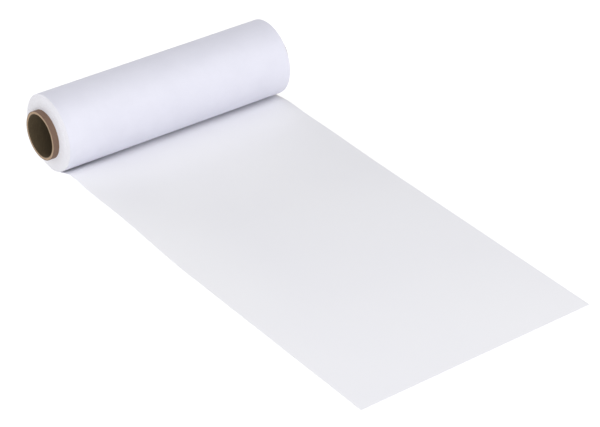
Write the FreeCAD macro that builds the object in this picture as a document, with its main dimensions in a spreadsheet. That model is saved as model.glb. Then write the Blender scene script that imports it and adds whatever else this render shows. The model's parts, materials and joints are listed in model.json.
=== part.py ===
"""A roll of self-adhesive sign vinyl on a paper core, with the first half metre unrolled on the table.

The roll's axis lies along X. Its origin is the middle of the core's bore. The web leaves the roll at its
lowest point and lies towards -Y. It is one laminate: a release liner below, adhesive, and film on top.
"""
import FreeCAD, Part
import math
import os

import Sketcher

SIZES = {
    # the core, a spirally wound paper tube
    "bore_radius": 25.4,
    "inner_ply": 0.5,
    "body_ply": 0.5,
    "body_ply_count": 5,
    "outer_ply": 0.5,
    "core_length": 327.0,
    "tape_thickness": 0.1,
    "tape_arc": 50.0,
    # the laminated web
    "web_width": 305.0,
    "liner": 0.14,
    "adhesive": 0.03,
    "film": 0.08,
    # the roll
    "roll_radius": 46.1,
    "turn_clearance": 0.3,
    "turn_angle": 352.0,
    # how far the innermost turns stand out of the roll's near end
    "telescope": 4.0,
    # the web on the table, a degree askew, and the low wave that it keeps just in front of the roll
    "laid_length": 552.0,
    "laid_start": 0.3,
    "laid_skew": 1.04,
    "laid_offset": 2.4,
    "wave_start": 8.0,
    "wave_crest": 75.0,
    "wave_end": 250.0,
    "wave_height": 5.5,
    # the front of the film, which can be lifted off its liner
    "peel_length": 60.0,
    "peel_gap": 0.2,
}

WEB = "liner + adhesive + film"
REAR_RUN = "wave_crest - wave_start"
FRONT_RUN = "wave_end - wave_crest"

doc = FreeCAD.newDocument("sign_vinyl_roll")
sheet = doc.addObject("Spreadsheet::Sheet", "Sizes")
for row, (alias, value) in enumerate(SIZES.items(), start=1):
    sheet.set("A%d" % row, alias)
    sheet.set("B%d" % row, str(value))
    sheet.setAlias("B%d" % row, alias)
doc.recompute()

nodes = []


def size(alias):
    """The number that a cell of the sheet holds."""
    return float(sheet.get(alias))


def cells(text):
    """An expression over the sheet: every word that is an alias gets the sheet's name before it."""
    return " ".join("Sizes." + word if word in SIZES else word for word in text.split())


def value(expression):
    """What an expression over the sheet comes to."""
    return float(sheet.evalExpression(cells(expression)))


def origin_plane(body, role):
    return next(plane for plane in body.Origin.OriginFeatures if plane.Role == role)


def new_body(name):
    body = doc.addObject("PartDesign::Body", name)
    body.Label = name
    nodes.append(body)
    return body


def new_sketch(body, role):
    sketch = body.newObject("Sketcher::SketchObject", body.Name + "_sketch")
    sketch.AttachmentSupport = [(origin_plane(body, role), "")]
    sketch.MapMode = "FlatFace"
    return sketch


def bind(sketch, kind, places, expression):
    """Add a dimension to the sketch and bind it to the sheet."""
    index = sketch.addConstraint(Sketcher.Constraint(kind, *places, value(expression)))
    sketch.setExpression("Constraints[%d]" % index, cells(expression))


def line(sketch, first, last):
    start, end = FreeCAD.Vector(*first, 0), FreeCAD.Vector(*last, 0)
    return sketch.addGeometry(Part.LineSegment(start, end), False)


def rectangle(sketch, corner, far_corner, ends="Vertical"):
    """Four joined sides, the first two the lower one and the right one. The ends may lean instead."""
    (left, low), (right, high) = corner, far_corner
    corners = [(left, low), (right, low), (right, high), (left, high)]
    for first, last in zip(corners, corners[1:] + corners[:1]):
        line(sketch, first, last)
    for side in range(4):
        sketch.addConstraint(Sketcher.Constraint("Coincident", side, 2, (side + 1) % 4, 1))
    sketch.addConstraint(Sketcher.Constraint("Horizontal", 2))
    if ends == "Vertical":
        sketch.addConstraint(Sketcher.Constraint("Vertical", 1))
        sketch.addConstraint(Sketcher.Constraint("Vertical", 3))
    else:
        sketch.addConstraint(Sketcher.Constraint("Parallel", 1, 3))


def turned_shell(name, inner, outer, length, angle="360", lean=None):
    """A tube, or a part of one, about the X axis: a long thin rectangle below the axis, revolved.

    With a lean, the inner edge stands that much further towards -X than the outer one.
    """
    body = new_body(name)
    sketch = new_sketch(body, "XZ_Plane")
    half = size("core_length") / 2
    corners = ((-half, -size("roll_radius")), (half, -size("bore_radius")))
    rectangle(sketch, *corners, ends="leaning" if lean else "Vertical")
    sketch.addConstraint(Sketcher.Constraint("Symmetric", 0, 1, 0, 2, -2))
    bind(sketch, "DistanceX", (0, 1, 0, 2), length)
    bind(sketch, "DistanceY", (0, 1, -1, 1), outer)
    bind(sketch, "DistanceY", (2, 1, -1, 1), inner)
    if lean:
        bind(sketch, "DistanceX", (3, 1, 0, 1), lean)
    turn = body.newObject("PartDesign::Revolution", name + "_turn")
    turn.Profile = sketch
    turn.ReferenceAxis = (sketch, ["H_Axis"])
    turn.setExpression("Angle", cells(angle))


def face_of_web(height, end):
    """One face of the laid web in (y, z), from the roll forwards: (curve, its first end, its last end).

    The face is a constant height above the underside. It lies flat, rises in two tangent arcs to the
    wave's crest, comes down in two longer ones, and lies flat again.
    """
    floor = -size("roll_radius")
    rise = size("wave_height")
    down, up = -math.pi / 2, math.pi / 2

    def bend(y, z, radius, first, last):
        circle = Part.Circle(FreeCAD.Vector(y, z, 0), FreeCAD.Vector(0, 0, 1), radius)
        return Part.ArcOfCircle(circle, first, last)

    def flat(first, last):
        z = floor + height
        return Part.LineSegment(FreeCAD.Vector(first, z, 0), FreeCAD.Vector(last, z, 0))

    crest, rear_foot, front_foot = -size("wave_crest"), -size("wave_start"), -size("wave_end")
    rear_run, front_run = rear_foot - crest, crest - front_foot
    rear, front = ((run**2 + rise**2) / (4 * rise) for run in (rear_run, front_run))
    rear_turn, front_turn = (2 * math.atan(rise / run) for run in (rear_run, front_run))
    return [
        (flat(-size("laid_start"), rear_foot), 1, 2),
        (bend(rear_foot, floor + rear, rear - height, down - rear_turn, down), 2, 1),
        (bend(crest, floor + rise - rear, rear + height, up - rear_turn, up), 1, 2),
        (bend(crest, floor + rise - front, front + height, up, up + front_turn), 1, 2),
        (bend(front_foot, floor + front, front - height, down, down + front_turn), 2, 1),
        (flat(front_foot, -end), 1, 2),
    ]


def draw_face(sketch, height, end):
    """Draw one face of the laid web and bind it. Gives its two free ends."""
    face = face_of_web(value(height), value(end))
    first = sketch.GeometryCount
    last = first + len(face) - 1
    for curve, _, _ in face:
        sketch.addGeometry(curve, False)
    for index in range(len(face) - 1):
        leave, enter = face[index][2], face[index + 1][1]
        joint = (first + index, leave, first + index + 1, enter)
        sketch.addConstraint(Sketcher.Constraint("Tangent", *joint))
    for level in (first, last):
        sketch.addConstraint(Sketcher.Constraint("Horizontal", level))
    for piece, corner, distance in (
        (first, 1, "laid_start"),
        (first, 2, "wave_start"),
        (first + 2, 2, "wave_crest"),
        (last, 1, "wave_end"),
        (last, 2, end),
    ):
        bind(sketch, "DistanceX", (piece, corner, -1, 1), distance)
    bind(sketch, "DistanceY", (first, 1, -1, 1), "roll_radius - ( %s )" % height)
    bind(sketch, "DistanceY", (first + 2, 2, -1, 1), "roll_radius - wave_height - ( %s )" % height)
    bends = ((REAR_RUN, "-"), (REAR_RUN, "+"), (FRONT_RUN, "+"), (FRONT_RUN, "-"))
    for index, (run, side) in enumerate(bends, start=1):
        radius = "( ( %s ) ^ 2 + wave_height ^ 2 ) / ( 4 * wave_height )" % run
        bind(sketch, "Radius", (first + index,), "%s %s ( %s )" % (radius, side, height))
    return (first, 1), (last, 2)


def pad_across(body, sketch):
    """Turn the piece askew and pad its outline along X, so that both ends stay parallel to the roll."""
    askew = FreeCAD.Rotation(FreeCAD.Vector(0, 0, 1), size("laid_skew"))
    pad = body.newObject("PartDesign::Pad", body.Name + "_width")
    pad.Profile = sketch
    pad.UseCustomVector = True
    pad.Direction = askew.inverted().multVec(FreeCAD.Vector(1, 0, 0))
    pad.AlongSketchNormal = False
    pad.SideType = "Symmetric"
    pad.setExpression("Length", cells("web_width"))
    body.Placement = FreeCAD.Placement(FreeCAD.Vector(size("laid_offset"), 0, 0), askew)


def laid_layer(name, bottom, top, end):
    """One layer of the web on the table, between two heights above its underside."""
    body = new_body(name)
    sketch = new_sketch(body, "YZ_Plane")
    ends = [draw_face(sketch, height, end) for height in (bottom, top)]
    for low, high in zip(*ends):
        start, stop = sketch.getPoint(*low), sketch.getPoint(*high)
        edge = sketch.addGeometry(Part.LineSegment(start, stop), False)
        sketch.addConstraint(Sketcher.Constraint("Coincident", edge, 1, *low))
        sketch.addConstraint(Sketcher.Constraint("Coincident", edge, 2, *high))
    pad_across(body, sketch)


def peel_layer(name, bottom, top):
    """One layer of the film's free end, a flat strip at the front of the laid web."""
    body = new_body(name)
    sketch = new_sketch(body, "YZ_Plane")
    floor, front = -size("roll_radius"), -size("laid_length")
    rectangle(sketch, (front, floor + value(bottom)), (front + size("peel_length"), floor + value(top)))
    sketch.addConstraint(Sketcher.Constraint("Horizontal", 0))
    bind(sketch, "DistanceX", (0, 1, -1, 1), "laid_length")
    bind(sketch, "DistanceX", (0, 2, -1, 1), "laid_length - peel_length")
    bind(sketch, "DistanceY", (0, 1, -1, 1), "roll_radius - ( %s )" % bottom)
    bind(sketch, "DistanceY", (2, 1, -1, 1), "roll_radius - ( %s )" % top)
    pad_across(body, sketch)


# the core, ply by ply from the bore outwards
ply_edge = "bore_radius + inner_ply"
turned_shell("core_inner_ply", "bore_radius", ply_edge, "core_length")
for number in range(1, int(size("body_ply_count")) + 1):
    next_edge = ply_edge + " + body_ply"
    turned_shell("core_body_ply_%d" % number, ply_edge, next_edge, "core_length")
    ply_edge = next_edge
core_radius = ply_edge + " + outer_ply"
turned_shell("core_outer_ply", ply_edge, core_radius, "core_length")

# the tape that holds the inner end of the web, and the web wound over it
wound_start = core_radius + " + tape_thickness"
wound_end = "roll_radius - ( %s ) - turn_clearance" % WEB
turned_shell("core_start_tape", core_radius, wound_start, "web_width", "tape_arc")
turned_shell("wound_web", wound_start, wound_end, "web_width", lean="telescope")

# the last turn, open at the bottom where the web goes off along the table
layers = {
    "liner": ("0", "liner"),
    "adhesive": ("liner", "liner + adhesive"),
    "film": ("liner + adhesive", WEB),
}
for layer, (outside, inside) in layers.items():
    depths = ("roll_radius - ( %s )" % inside, "roll_radius - ( %s )" % outside)
    turned_shell("outer_turn_" + layer, *depths, "web_width", "turn_angle")

# the web on the table, with the front of its film apart
film_end = "laid_length - peel_length - peel_gap"
for layer, (bottom, top) in layers.items():
    laid_layer("laid_" + layer, bottom, top, "laid_length" if layer == "liner" else film_end)
for layer in ("adhesive", "film"):
    peel_layer("peel_" + layer, *layers[layer])

doc.recompute()

for item in doc.Objects:
    faults = {"Invalid", "Error"} & set(item.State)
    if faults:
        raise RuntimeError("%s is %s" % (item.Label, ", ".join(sorted(faults))))

os.makedirs("parts", exist_ok=True)
for node in nodes:
    shape = node.Shape
    if shape.isNull() or not shape.isValid():
        raise RuntimeError("%s has no valid shape" % node.Label)
    box = shape.BoundBox
    spans = [box.XMin, box.XMax, box.YMin, box.YMax, box.ZMin, box.ZMax]
    print("%-20s %10.1f mm3  %s" % (node.Label, shape.Volume, " ".join("%8.2f" % edge for edge in spans)))
    shape.exportStep("parts/%s.step" % node.Label)
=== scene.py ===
"""The looks of a roll of self-adhesive sign vinyl: a white laminated web on a paper tube, partly unrolled."""
import json
import math
import random

import bmesh
import bpy
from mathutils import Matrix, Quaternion, Vector


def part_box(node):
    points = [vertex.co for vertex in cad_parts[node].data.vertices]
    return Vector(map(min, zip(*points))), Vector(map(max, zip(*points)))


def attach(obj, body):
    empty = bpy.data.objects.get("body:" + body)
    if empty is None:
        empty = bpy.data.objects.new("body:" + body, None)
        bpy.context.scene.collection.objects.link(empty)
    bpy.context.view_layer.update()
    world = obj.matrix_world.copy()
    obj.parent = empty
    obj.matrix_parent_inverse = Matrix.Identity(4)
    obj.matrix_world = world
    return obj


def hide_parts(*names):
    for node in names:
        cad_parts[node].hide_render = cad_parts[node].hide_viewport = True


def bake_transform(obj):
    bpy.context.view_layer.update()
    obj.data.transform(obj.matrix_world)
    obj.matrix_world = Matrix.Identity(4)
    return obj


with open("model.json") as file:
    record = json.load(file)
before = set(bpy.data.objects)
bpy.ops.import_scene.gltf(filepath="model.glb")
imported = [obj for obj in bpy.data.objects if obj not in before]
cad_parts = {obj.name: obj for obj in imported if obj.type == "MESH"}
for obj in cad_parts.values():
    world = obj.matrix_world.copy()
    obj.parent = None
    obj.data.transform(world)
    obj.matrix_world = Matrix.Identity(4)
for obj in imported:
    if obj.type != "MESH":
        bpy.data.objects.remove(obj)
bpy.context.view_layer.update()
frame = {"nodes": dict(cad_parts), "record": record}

MM = 0.001

# ---------------------------------------------------------------- sizes, from the frame

BORE = frame["record"]["mounts"][0]["dims"]["r_mm"] * MM
CORE_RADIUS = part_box("core_outer_ply")[1].z
CORE_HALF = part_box("core_outer_ply")[1].x
ROLL_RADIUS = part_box("outer_turn_liner")[1].z
HALF_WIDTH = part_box("wound_web")[1].x
TELESCOPE = -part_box("wound_web")[0].x - HALF_WIDTH
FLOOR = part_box("laid_liner")[0].z
LINER_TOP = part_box("peel_adhesive")[0].z - FLOOR
ADHESIVE_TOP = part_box("peel_film")[0].z - FLOOR
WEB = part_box("peel_film")[1].z - FLOOR
FRONT = -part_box("laid_liner")[0].y
PEEL_LINE = -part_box("peel_film")[1].y
TAPE_THICKNESS = 0.1 * MM
TAPE_TOP = CORE_RADIUS + TAPE_THICKNESS
TURN_LENGTH = 2 * math.pi * ROLL_RADIUS

# the laid web runs askew: how far to the right of the roll it lies at its front edge and at its rear end
FRONT_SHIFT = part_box("peel_film")[1].x - HALF_WIDTH
REAR_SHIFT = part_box("laid_liner")[0].x + HALF_WIDTH


def smooth(value, first, last):
    """0 before first, 1 after last, and an S-curve between."""
    t = min(max((value - first) / (last - first), 0.0), 1.0)
    return t * t * (3 - 2 * t)


def mix(first, last, share):
    """The value a share of the way from first to last."""
    return first + (last - first) * share


def direction(azimuth, elevation):
    """The unit vector towards a place at two angles in degrees. Azimuth 0 is the front, and 90 the right."""
    azimuth, elevation = math.radians(azimuth), math.radians(elevation)
    level = math.cos(elevation)
    return Vector((math.sin(azimuth) * level, -math.cos(azimuth) * level, math.sin(elevation)))


# ---------------------------------------------------------------- materials


class Finish:
    """A Principled material and the nodes that make its pattern."""

    def __init__(self, name, colour, roughness, **sockets):
        self.material = bpy.data.materials.new(name)
        self.material.use_nodes = True
        self.tree = self.material.node_tree
        self.shader = self.tree.nodes["Principled BSDF"]
        self.shader.inputs["Base Color"].default_value = (*colour, 1)
        self.shader.inputs["Roughness"].default_value = roughness
        for socket, value in sockets.items():
            self.shader.inputs[socket.replace("_", " ")].default_value = value
        self.coordinates = self.tree.nodes.new("ShaderNodeTexCoord")

    def node(self, kind, **settings):
        """A new node with its settings."""
        node = self.tree.nodes.new(kind)
        for key, value in settings.items():
            setattr(node, key, value)
        return node

    def link(self, output, socket):
        self.tree.links.new(output, socket)

    def stretched(self, scale, space="Object"):
        """Coordinates scaled by a vector, for a grain that runs one way."""
        mapping = self.node("ShaderNodeMapping")
        mapping.inputs["Scale"].default_value = scale
        self.link(self.coordinates.outputs[space], mapping.inputs["Vector"])
        return mapping.outputs["Vector"]

    def noise(self, scale, detail=3.0, roughness=0.5, vector=None):
        """A noise from 0 to 1, on the piece's own coordinates unless others are given."""
        noise = self.node("ShaderNodeTexNoise")
        noise.inputs["Scale"].default_value = scale
        noise.inputs["Detail"].default_value = detail
        noise.inputs["Roughness"].default_value = roughness
        self.link(vector or self.coordinates.outputs["Object"], noise.inputs["Vector"])
        return noise.outputs["Fac"]

    def ramp(self, value, *stops):
        """A colour for each place in the value's range."""
        ramp = self.node("ShaderNodeValToRGB")
        elements = ramp.color_ramp.elements
        while len(elements) < len(stops):
            elements.new(0.5)
        for element, (place, colour) in zip(elements, stops):
            element.position = place
            element.color = (*colour, 1)
        self.link(value, ramp.inputs["Fac"])
        return ramp.outputs["Color"]

    def blended(self, first, second, share, kind="MIX"):
        """Two colours mixed. Each may be an output or a fixed colour, and the share an output or a number."""
        node = self.node("ShaderNodeMix", data_type="RGBA", blend_type=kind)
        share_socket, first_socket, second_socket = node.inputs[0], node.inputs[6], node.inputs[7]
        for socket, value in ((share_socket, share), (first_socket, first), (second_socket, second)):
            if isinstance(value, bpy.types.NodeSocket):
                self.link(value, socket)
            elif isinstance(value, tuple):
                socket.default_value = (*value, 1)
            else:
                socket.default_value = value
        return node.outputs[2]

    def spread(self, value, low, high):
        """A 0 to 1 value moved into a range."""
        node = self.node("ShaderNodeMapRange")
        node.inputs["To Min"].default_value = low
        node.inputs["To Max"].default_value = high
        self.link(value, node.inputs["Value"])
        return node.outputs["Result"]

    def maths(self, first, second, kind="ADD"):
        """One step of arithmetic on an output and a number or another output."""
        node = self.node("ShaderNodeMath", operation=kind)
        for socket, value in zip(node.inputs, (first, second)):
            if isinstance(value, bpy.types.NodeSocket):
                self.link(value, socket)
            else:
                socket.default_value = value
        return node.outputs["Value"]

    def colour(self, output):
        self.link(output, self.shader.inputs["Base Color"])

    def rough(self, output):
        self.link(output, self.shader.inputs["Roughness"])

    def bump(self, height, depth, strength=1.0):
        """Fine relief. A height of 1 stands out by the depth, in metres."""
        bump = self.node("ShaderNodeBump")
        bump.inputs["Strength"].default_value = strength
        bump.inputs["Distance"].default_value = depth
        self.link(height, bump.inputs["Height"])
        self.link(bump.outputs["Normal"], self.shader.inputs["Normal"])


def vinyl_film():
    """White calendered film: satin, with a faint orange peel and slow drifts of tone."""
    finish = Finish("white_vinyl_film", (0.86, 0.86, 0.895), 0.55, Specular_IOR_Level=0.28)
    drift = finish.ramp(
        finish.noise(4.0, 2.0), (0.3, (0.845, 0.845, 0.885)), (0.7, (0.875, 0.875, 0.905))
    )
    finish.colour(drift)
    finish.rough(finish.spread(finish.noise(60.0, 4.0), 0.50, 0.62))
    peel = finish.noise(900.0, 3.0, 0.6)
    finish.bump(peel, 0.02 * MM, 0.6)
    return finish.material


def release_liner():
    """Silicone-coated liner paper: a cool white with the faint cloudiness and fibres of paper."""
    finish = Finish("release_liner", (0.74, 0.74, 0.83), 0.5, Specular_IOR_Level=0.35)
    clouds = finish.ramp(
        finish.noise(28.0, 5.0, 0.62), (0.3, (0.725, 0.725, 0.815)), (0.72, (0.760, 0.760, 0.850))
    )
    fibres = finish.noise(700.0, 4.0, 0.7, finish.stretched((0.35, 1.0, 1.0)))
    finish.colour(finish.blended(clouds, (0.695, 0.695, 0.79), finish.spread(fibres, -0.15, 0.35)))
    finish.rough(finish.spread(finish.noise(90.0, 3.0), 0.46, 0.60))
    finish.bump(fibres, 0.025 * MM, 0.7)
    return finish.material


def glue_layer():
    """The pressure-sensitive adhesive: a clear gum, faintly grey, with a wet shine."""
    finish = Finish("clear_adhesive", (0.76, 0.77, 0.79), 0.24)
    finish.colour(
        finish.ramp(finish.noise(40.0, 3.0), (0.3, (0.745, 0.755, 0.775)), (0.7, (0.775, 0.780, 0.800)))
    )
    finish.bump(finish.noise(500.0, 2.0), 0.02 * MM, 0.5)
    return finish.material


def wound_edges():
    """The ends of the wound turns: film and liner edges as fine rings, some turns cleaner than others."""
    finish = Finish("wound_web_edges", (0.82, 0.82, 0.85), 0.55)
    parts = finish.node("ShaderNodeSeparateXYZ")
    finish.link(finish.coordinates.outputs["Object"], parts.inputs["Vector"])
    squares = [finish.maths(parts.outputs[axis], 2.0, "POWER") for axis in ("Y", "Z")]
    radius = finish.maths(finish.maths(*squares), 0.5, "POWER")
    turns = finish.maths(radius, 1 / WEB, "MULTIPLY")
    ring = finish.maths(turns, 1.0, "FRACT")
    layers = finish.ramp(
        ring,
        (0.0, (0.90, 0.90, 0.95)),
        (0.30, (0.90, 0.90, 0.95)),
        (0.36, (0.70, 0.70, 0.75)),
        (0.46, (0.86, 0.85, 0.89)),
        (0.94, (0.86, 0.85, 0.89)),
        (1.0, (0.68, 0.68, 0.73)),
    )
    slow = finish.node("ShaderNodeTexNoise", noise_dimensions="1D")
    slow.inputs["Scale"].default_value = 0.5
    slow.inputs["Detail"].default_value = 6.0
    finish.link(turns, slow.inputs["W"])
    bands = finish.ramp(slow.outputs["Fac"], (0.35, (0.94, 0.94, 0.945)), (0.65, (1.0, 1.0, 1.0)))
    finish.colour(finish.blended(layers, bands, 1.0, "MULTIPLY"))
    finish.bump(ring, 0.03 * MM, 0.5)
    return finish.material


def board(name, dark, light, speck, roughness=0.85):
    """Spirally wound paperboard: fibres along the strip, flecks and a slow change of tone."""
    finish = Finish(name, dark, roughness)
    along = finish.stretched((14.0, 60.0, 1.0), "UV")
    fibres = finish.noise(6.0, 6.0, 0.7, along)
    tone = finish.ramp(fibres, (0.30, dark), (0.72, light))
    flecks = finish.noise(900.0, 3.0, 0.8)
    fleck_places = finish.ramp(flecks, (0.60, (0, 0, 0)), (0.70, (0.5, 0.5, 0.5)))
    finish.colour(finish.blended(tone, speck, fleck_places))
    finish.rough(finish.spread(fibres, roughness - 0.08, roughness + 0.1))
    finish.bump(finish.maths(fibres, flecks), 0.08 * MM, 0.8)
    return finish.material


def tape_film():
    """Double-sided tape: a yellowish translucent strip, seen only at its ends."""
    finish = Finish("core_tape", (0.62, 0.55, 0.38), 0.35)
    finish.colour(
        finish.ramp(finish.noise(300.0, 3.0), (0.3, (0.56, 0.50, 0.35)), (0.7, (0.66, 0.60, 0.42)))
    )
    return finish.material


FILM = vinyl_film()
LINER = release_liner()
ADHESIVE = glue_layer()
EDGES = wound_edges()
LINING_BOARD = board(
    "core_lining_paper", dark=(0.050, 0.035, 0.017), light=(0.150, 0.108, 0.058), speck=(0.26, 0.19, 0.10)
)
BODY_BOARD = board(
    "core_grey_board", dark=(0.33, 0.22, 0.14), light=(0.52, 0.38, 0.26), speck=(0.62, 0.48, 0.34)
)
WRAP_BOARD = board(
    "core_kraft_wrap", dark=(0.13, 0.078, 0.054), light=(0.215, 0.135, 0.096), speck=(0.32, 0.22, 0.155)
)
TAPE = tape_film()

# ---------------------------------------------------------------- pieces


def piece(name, mesh, material, body, node):
    """Make an object of a finished bmesh, on its body, in place of a node. Given a pair of bodies, it is put
    on no body and its placement is baked into the mesh.
    """
    data = bpy.data.meshes.new(name)
    mesh.to_mesh(data)
    mesh.free()
    obj = bpy.data.objects.new(name, data)
    bpy.context.scene.collection.objects.link(obj)
    data.materials.append(material)
    data.shade_smooth()
    data.set_sharp_from_angle(angle=math.radians(40))
    if isinstance(body, str):
        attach(obj, body)
    else:
        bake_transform(obj)
    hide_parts(node)
    return obj


# the laid web keeps a low wave in front of the roll: a short ridge on a longer swell that runs out towards
# the front. Both are highest at the left edge and level off about a third of the way across. A pair of
# heights, and the two ranges of SWELL_FALL, are for the left edge and for the rest of the width
WAVE_RISE = (6 * MM, 42 * MM)
RIDGE_FALL = (42 * MM, 84 * MM)
SWELL_FALL = ((120 * MM, 265 * MM), (110 * MM, 215 * MM))
RIDGE_HEIGHT = (2.4 * MM, 1.2 * MM)
SWELL_HEIGHT = (6.6 * MM, 1.6 * MM)
LEVEL_ACROSS = 0.35


def wave(along, across):
    """How far the laid web stands off the table. across is 0 at the left edge and 1 at the right one."""
    inward = smooth(across, 0.0, LEVEL_ACROSS)
    start, end = (mix(left, right, inward) for left, right in zip(*SWELL_FALL))
    ridge = mix(*RIDGE_HEIGHT, inward) * (1 - smooth(along, *RIDGE_FALL))
    swell = mix(*SWELL_HEIGHT, inward) * (1 - smooth(along, start, end))
    return (ridge + swell) * smooth(along, *WAVE_RISE)


def web_point(along, across, height):
    """A point in the web. along is the distance from the roll's lowest line, forwards along the table or,
    when negative, back up round the roll. height is above the web's underside."""
    if along >= 0:
        shift = mix(REAR_SHIFT, FRONT_SHIFT, along / FRONT)
        x = mix(-HALF_WIDTH, HALF_WIDTH, across) + shift
        return Vector((x, -along, FLOOR + height + wave(along, across)))
    turn = -along / ROLL_RADIUS
    shift = REAR_SHIFT * (1 - smooth(turn, 0, math.pi))
    x = mix(-HALF_WIDTH, HALF_WIDTH, across) + shift
    radius = ROLL_RADIUS - height - WEB * turn / (2 * math.pi)
    return Vector((x, radius * math.sin(turn), -radius * math.cos(turn)))


def web_layer(low, high, rear, front, rows, columns=64):
    """A closed thin sheet between two heights in the web, from rear to front along it."""
    mesh = bmesh.new()
    mesh.loops.layers.uv.new("UVMap")
    bmesh.ops.create_grid(mesh, x_segments=columns, y_segments=rows, size=0.5, calc_uvs=True)
    bmesh.ops.translate(mesh, verts=mesh.verts[:], vec=(0.5, 0.5, 0.0))
    raised = bmesh.ops.extrude_face_region(mesh, geom=mesh.faces[:], use_keep_orig=True)["geom"]
    upper = [item for item in raised if isinstance(item, bmesh.types.BMVert)]
    bmesh.ops.translate(mesh, verts=upper, vec=(0.0, 0.0, 1.0))
    for vert in mesh.verts:
        across, along, level = vert.co
        vert.co = web_point(mix(rear, front, along), across, mix(low, high, level))
    bmesh.ops.recalc_face_normals(mesh, faces=mesh.faces[:])
    if mesh.calc_volume(signed=True) < 0:
        bmesh.ops.reverse_faces(mesh, faces=mesh.faces[:])
    return mesh


def outer_turn():
    """The last turn of the web round the roll, as its three layers. It starts and ends at the lowest line."""
    layers = (
        ("outer_turn_liner", 0.0, LINER_TOP, LINER, "liner"),
        ("outer_turn_adhesive", LINER_TOP, ADHESIVE_TOP, ADHESIVE, "adhesive"),
        ("outer_turn_film", ADHESIVE_TOP, WEB, FILM, "film"),
    )
    for node, low, high, material, slot in layers:
        mesh = web_layer(low, high, -TURN_LENGTH, 0.0, rows=192, columns=24)
        piece(node.replace("outer_turn", "turn"), mesh, material, "outer_turn", node)


PULL_START = 20 * MM
PEEL_BEND = 40 * MM
ROW_SPACING = 4 * MM


def laid_web():
    """The web on the table, from the roll's lowest line to its front edge. The front of the film and of its
    adhesive are pieces of their own.
    """
    pulled = ("laid_web", "outer_turn", (0, -PEEL_LINE, FLOOR), (0, -PULL_START, FLOOR))
    lifted = ("laid_web", "film_end", (0, -PEEL_LINE, FLOOR), (0, -PEEL_LINE - PEEL_BEND, FLOOR))
    pieces = (
        ("laid_liner", 0.0, LINER_TOP, 0.0, FRONT, LINER, "liner", pulled),
        ("laid_adhesive", LINER_TOP, ADHESIVE_TOP, 0.0, PEEL_LINE, ADHESIVE, "adhesive", pulled),
        ("laid_film", ADHESIVE_TOP, WEB, 0.0, PEEL_LINE, FILM, "film", pulled),
        ("peel_adhesive", LINER_TOP, ADHESIVE_TOP, PEEL_LINE, FRONT, ADHESIVE, "adhesive", lifted),
        ("peel_film", ADHESIVE_TOP, WEB, PEEL_LINE, FRONT, FILM, "film", lifted),
    )
    for node, low, high, rear, front, material, slot, bodies in pieces:
        rows = max(30, round((front - rear) / ROW_SPACING))
        mesh = web_layer(low, high, rear, front, rows)
        name = node.replace("laid", "flat").replace("peel", "front")
        sheet = piece(name, mesh, material, bodies, node)


EDGE_MARGIN = 0.15 * MM
EDGE_DRIFT = 0.09 * MM
EDGE_DRIFT_KEPT = 0.82
EDGE_JITTER = 0.03 * MM
EDGE_WIDTH = 0.86 * WEB
LAST_EDGE_STEP = 0.12 * MM
GAP_UNDER_LAST_TURN = 0.02 * MM


def wound_web():
    """The turns under the last one. Every turn's edge stands at its own place, as a slitter leaves it, and
    the inner turns stand further out at the near end."""
    chance = random.Random(7)
    outer = ROLL_RADIUS - WEB - GAP_UNDER_LAST_TURN
    turns = int((outer - TAPE_TOP) / WEB)
    edge = {-1: [], 1: []}
    for side, places in edge.items():
        drift = 0.0
        for turn in range(turns):
            drift = EDGE_DRIFT_KEPT * drift + chance.uniform(-EDGE_DRIFT, EDGE_DRIFT)
            radius = TAPE_TOP + turn * (outer - TAPE_TOP) / turns
            place = side * (HALF_WIDTH - EDGE_MARGIN + drift + chance.uniform(-EDGE_JITTER, EDGE_JITTER))
            place -= TELESCOPE * (1 - turn / turns)
            places.append((place, radius))
            places.append((place, radius + EDGE_WIDTH))
        places.append((places[-1][0] - side * LAST_EDGE_STEP, outer))
    outline = edge[-1] + edge[1][::-1]
    mesh = bmesh.new()
    corners = [mesh.verts.new((x, 0, radius)) for x, radius in outline]
    for first, last in zip(corners, corners[1:] + corners[:1]):
        mesh.edges.new((first, last))
    bmesh.ops.spin(
        mesh, geom=mesh.verts[:] + mesh.edges[:], cent=(0, 0, 0), axis=(1, 0, 0), dvec=(0, 0, 0),
        angle=2 * math.pi, steps=144, use_merge=True, use_duplicate=False,
    )
    bmesh.ops.remove_doubles(mesh, verts=mesh.verts[:], dist=0.001 * MM)
    bmesh.ops.recalc_face_normals(mesh, faces=mesh.faces[:])
    piece("wound_turns", mesh, EDGES, "roll", "wound_web")


SEAM_GAP = 0.35 * MM
FACETS_PER_TURN = 96
STRIP_PITCH = 96 * MM
PITCH_STEP = 3 * MM
SEAM_STEP = 0.37
PLY_CLEARANCE = 0.01 * MM
PLY_SLACK = (0.02 * MM, 0.16 * MM)


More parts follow.
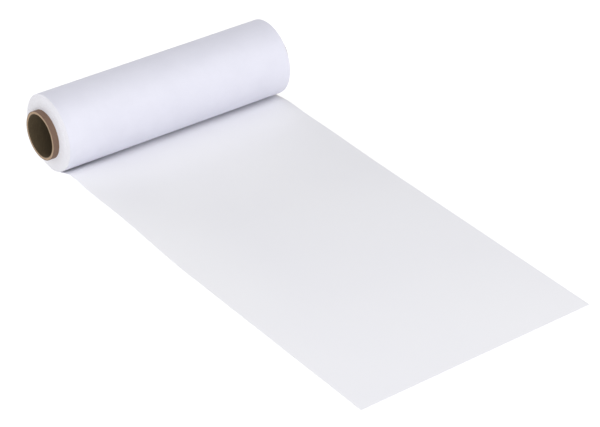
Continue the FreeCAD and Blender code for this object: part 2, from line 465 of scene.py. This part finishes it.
def core_ply(name, inner, outer, pitch, phase, slack, material, node):
    """One ply of the core: a strip wound in a helix with a butt seam, cut square at both ends."""
    turns = math.ceil(2 * CORE_HALF / pitch) + 2
    mesh = bmesh.new()
    mesh.loops.layers.uv.new("UVMap")
    bmesh.ops.create_grid(mesh, x_segments=FACETS_PER_TURN * turns, y_segments=4, size=0.5, calc_uvs=True)
    for vert in mesh.verts:
        turn = (vert.co.x + 0.5) * turns
        x = -CORE_HALF - pitch + pitch * turn + vert.co.y * (pitch - SEAM_GAP)
        angle = 2 * math.pi * (turn + phase)
        vert.co = Vector((x, outer * math.cos(angle), outer * math.sin(angle)))
    for side in (-1, 1):
        bmesh.ops.bisect_plane(
            mesh, geom=mesh.verts[:] + mesh.edges[:] + mesh.faces[:], dist=0.0001 * MM,
            plane_co=(side * (CORE_HALF - slack), 0, 0), plane_no=(side, 0, 0), clear_outer=True,
        )
    bmesh.ops.recalc_face_normals(mesh, faces=mesh.faces[:])
    outward = sum(face.normal.dot(face.calc_center_median() * Vector((0, 1, 1))) for face in mesh.faces)
    if outward < 0:
        bmesh.ops.reverse_faces(mesh, faces=mesh.faces[:])
    bmesh.ops.solidify(mesh, geom=mesh.faces[:], thickness=outer - inner)
    piece(name, mesh, material, "roll", node)


def paper_core():
    """The paper tube: a dark lining, board plies and a kraft wrap, each wound in its own helix."""
    plies = [("core_inner_ply", "core_lining", LINING_BOARD)]
    plies += [("core_body_ply_%d" % number, "core_board", BODY_BOARD) for number in range(1, 6)]
    plies += [("core_outer_ply", "core_wrap", WRAP_BOARD)]
    chance = random.Random(11)
    inner = BORE
    for number, (node, slot, material) in enumerate(plies):
        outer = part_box(node)[1].z
        slack = chance.uniform(*PLY_SLACK)
        pitch = STRIP_PITCH + PITCH_STEP * number
        name = node.replace("core", "tube")
        core_ply(name, inner, outer - PLY_CLEARANCE, pitch, SEAM_STEP * number, slack, material, node)
        inner = outer


def start_tape():
    """The tape under the first turn keeps the shape that it has in the frame."""
    tape = frame["nodes"]["core_start_tape"]
    tape.data.materials.clear()
    tape.data.materials.append(TAPE)


# ---------------------------------------------------------------- the studio


TABLE_REACH = 40.0
TABLE_GAP = 0.05 * MM
TABLE_GLOW = 0.90


def table():
    """A plain white table that stays bright, out to the horizon."""
    mesh = bmesh.new()
    bmesh.ops.create_grid(mesh, x_segments=1, y_segments=1, size=TABLE_REACH)
    bmesh.ops.translate(mesh, verts=mesh.verts[:], vec=(0, 0, FLOOR - TABLE_GAP))
    data = bpy.data.meshes.new("table")
    mesh.to_mesh(data)
    mesh.free()
    top = bpy.data.objects.new("table", data)
    bpy.context.scene.collection.objects.link(top)
    white = Finish("table_white", (0.20, 0.20, 0.20), 0.9)
    white.shader.inputs["Emission Color"].default_value = (1, 1, 1, 1)
    white.shader.inputs["Emission Strength"].default_value = TABLE_GLOW
    data.materials.append(white.material)


LAMP_AIM = Vector((0.0, -0.2, 0.0))
LAMP_DISTANCE = 3.0
LAMP_SIZE = 1.6


def lamp(name, azimuth, elevation, power):
    """A large soft lamp at two angles from the object, turned to face it."""
    data = bpy.data.lights.new(name, "AREA")
    data.shape = "SQUARE"
    data.size = LAMP_SIZE
    data.energy = power
    towards = direction(azimuth, elevation)
    obj = bpy.data.objects.new(name, data)
    obj.location = LAMP_AIM + towards * LAMP_DISTANCE
    obj.rotation_mode = "QUATERNION"
    obj.rotation_quaternion = (-towards).to_track_quat("-Z", "Y")
    bpy.context.scene.collection.objects.link(obj)


def studio():
    """Even, dim white surroundings and five large soft lamps."""
    world = bpy.data.worlds.new("studio")
    world.use_nodes = True
    background = world.node_tree.nodes["Background"]
    background.inputs["Color"].default_value = (1, 1, 1, 1)
    background.inputs["Strength"].default_value = 0.28
    bpy.context.scene.world = world
    lamp("front_lamp", -35, 20, 26.0)
    lamp("high_lamp", 0, 59, 42.0)
    lamp("right_lamp", 62, 29, 11.0)
    lamp("left_lamp", -110, 48, 13.0)
    lamp("rim_lamp", -165, 11, 28.0)
    bpy.context.scene.view_settings.view_transform = "Standard"


def camera():
    """A long lens above the roll's near end."""
    aim = Vector((0.0430, -0.2122, -0.0684))
    distance = 2.5275
    back = direction(-37.94, 33.34)
    roll = math.radians(1.454)
    data = bpy.data.cameras.new("camera")
    data.sensor_width = 36.0
    data.lens = 135.2
    data.clip_end = 50.0
    obj = bpy.data.objects.new("camera", data)
    obj.location = aim + back * distance
    obj.rotation_mode = "QUATERNION"
    obj.rotation_quaternion = (-back).to_track_quat("-Z", "Y") @ Quaternion((0, 0, 1), roll)
    bpy.context.scene.collection.objects.link(obj)
    bpy.context.scene.camera = obj


camera()
outer_turn()
laid_web()
wound_web()
paper_core()
start_tape()
table()
studio()
